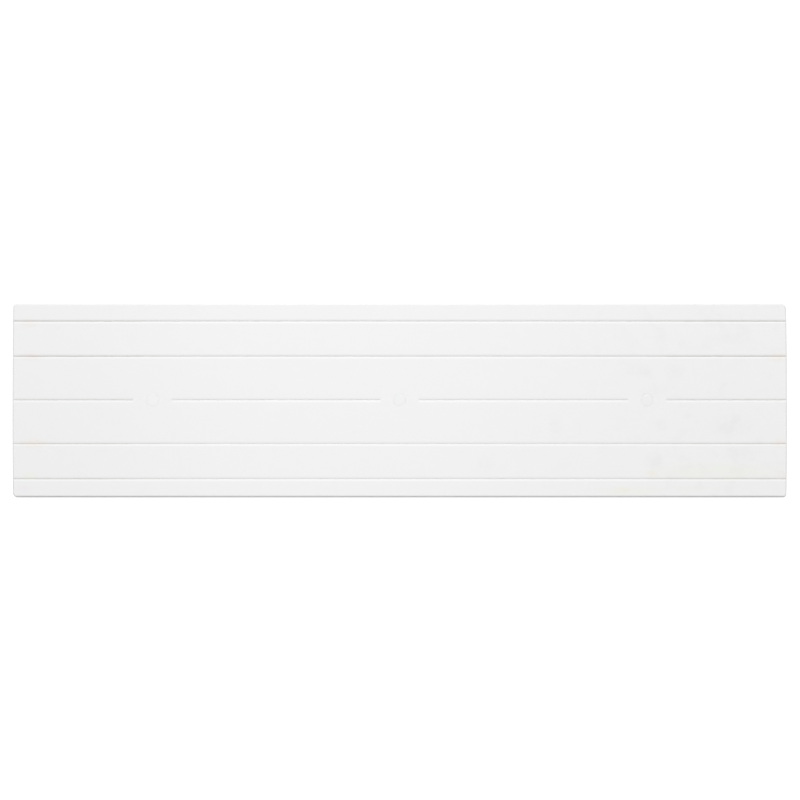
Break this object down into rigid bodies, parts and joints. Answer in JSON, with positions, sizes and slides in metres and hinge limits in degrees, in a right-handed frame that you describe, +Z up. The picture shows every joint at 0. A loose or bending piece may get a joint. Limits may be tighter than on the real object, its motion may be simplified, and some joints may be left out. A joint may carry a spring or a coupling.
{
  "type": "diving board",
  "caption": "Straight domestic diving board: white moulded shell on a laminated wood core, lengthwise deck grooves, capped bolt holes on the centreline and rubber pads below.",
  "frame": {"origin": "middle of the board in plan, on the plane that the three rubber pads rest on", "axes": "+X along the board towards the nose, +Y across it to the diver's left, +Z up through the deck"},
  "size_m": [1.829, 0.457, 0.049],
  "materials": {
    "white_gelcoat": "white gelcoat over glass fibre, satin, with a fine grip texture",
    "white_gelcoat_pan": "white gelcoat over glass fibre, semi-gloss",
    "glass_laminate": "woven glass laminate, resin rich",
    "core_fir": "planed softwood",
    "end_grain_fir": "planed softwood, grain across the board",
    "stainless_steel": "turned stainless steel",
    "galvanised_plate": "zinc-coated plate",
    "white_cap": "moulded white plastic, satin",
    "seal_rubber": "smooth black rubber",
    "pad_rubber": "ribbed black rubber, dusty matt",
    "screw_steel": "stainless steel screws"
  },
  "bodies": {
    "board": {"deck_shell": "white_gelcoat", "pan_shell": "white_gelcoat_pan", "deck_laminate": "glass_laminate", "pan_laminate": "glass_laminate", "tail_block": "end_grain_fir", "nose_block": "end_grain_fir", "core_stringer_01": "core_fir", "core_stringer_02": "core_fir", "core_stringer_03": "core_fir", "core_stringer_04": "core_fir", "core_stringer_05": "core_fir", "core_stringer_06": "core_fir", "core_stringer_07": "core_fir", "core_stringer_08": "core_fir", "core_stringer_09": "core_fir", "core_stringer_10": "core_fir", "core_stringer_11": "core_fir", "bolt_sleeve_tail": "stainless_steel", "bolt_sleeve_mid": "stainless_steel", "bolt_sleeve_nose": "stainless_steel", "deck_plate_tail": "galvanised_plate", "deck_plate_mid": "galvanised_plate", "deck_plate_nose": "galvanised_plate", "pan_plate_tail": "galvanised_plate", "pan_plate_mid": "galvanised_plate", "pan_plate_nose": "galvanised_plate", "rubber_pad_tail": "pad_rubber", "rubber_pad_mid": "pad_rubber", "rubber_pad_nose": "pad_rubber", "pad_screws_tail": "screw_steel", "pad_screws_mid": "screw_steel", "pad_screws_nose": "screw_steel"},
    "tail_cap": {"hole_cap_tail": "white_cap", "cap_seal_tail": "seal_rubber"},
    "mid_cap": {"hole_cap_mid": "white_cap", "cap_seal_mid": "seal_rubber"},
    "nose_cap": {"hole_cap_nose": "white_cap", "cap_seal_nose": "seal_rubber"}
  },
  "joints": [
    {"name": "tail_cap_lift", "type": "slide", "parent": "board", "child": "tail_cap", "axis": [0, 0, 1], "range_m": [0, 0.03]},
    {"name": "mid_cap_lift", "type": "slide", "parent": "board", "child": "mid_cap", "axis": [0, 0, 1], "range_m": [0, 0.03]},
    {"name": "nose_cap_lift", "type": "slide", "parent": "board", "child": "nose_cap", "axis": [0, 0, 1], "range_m": [0, 0.03]}
  ]
}
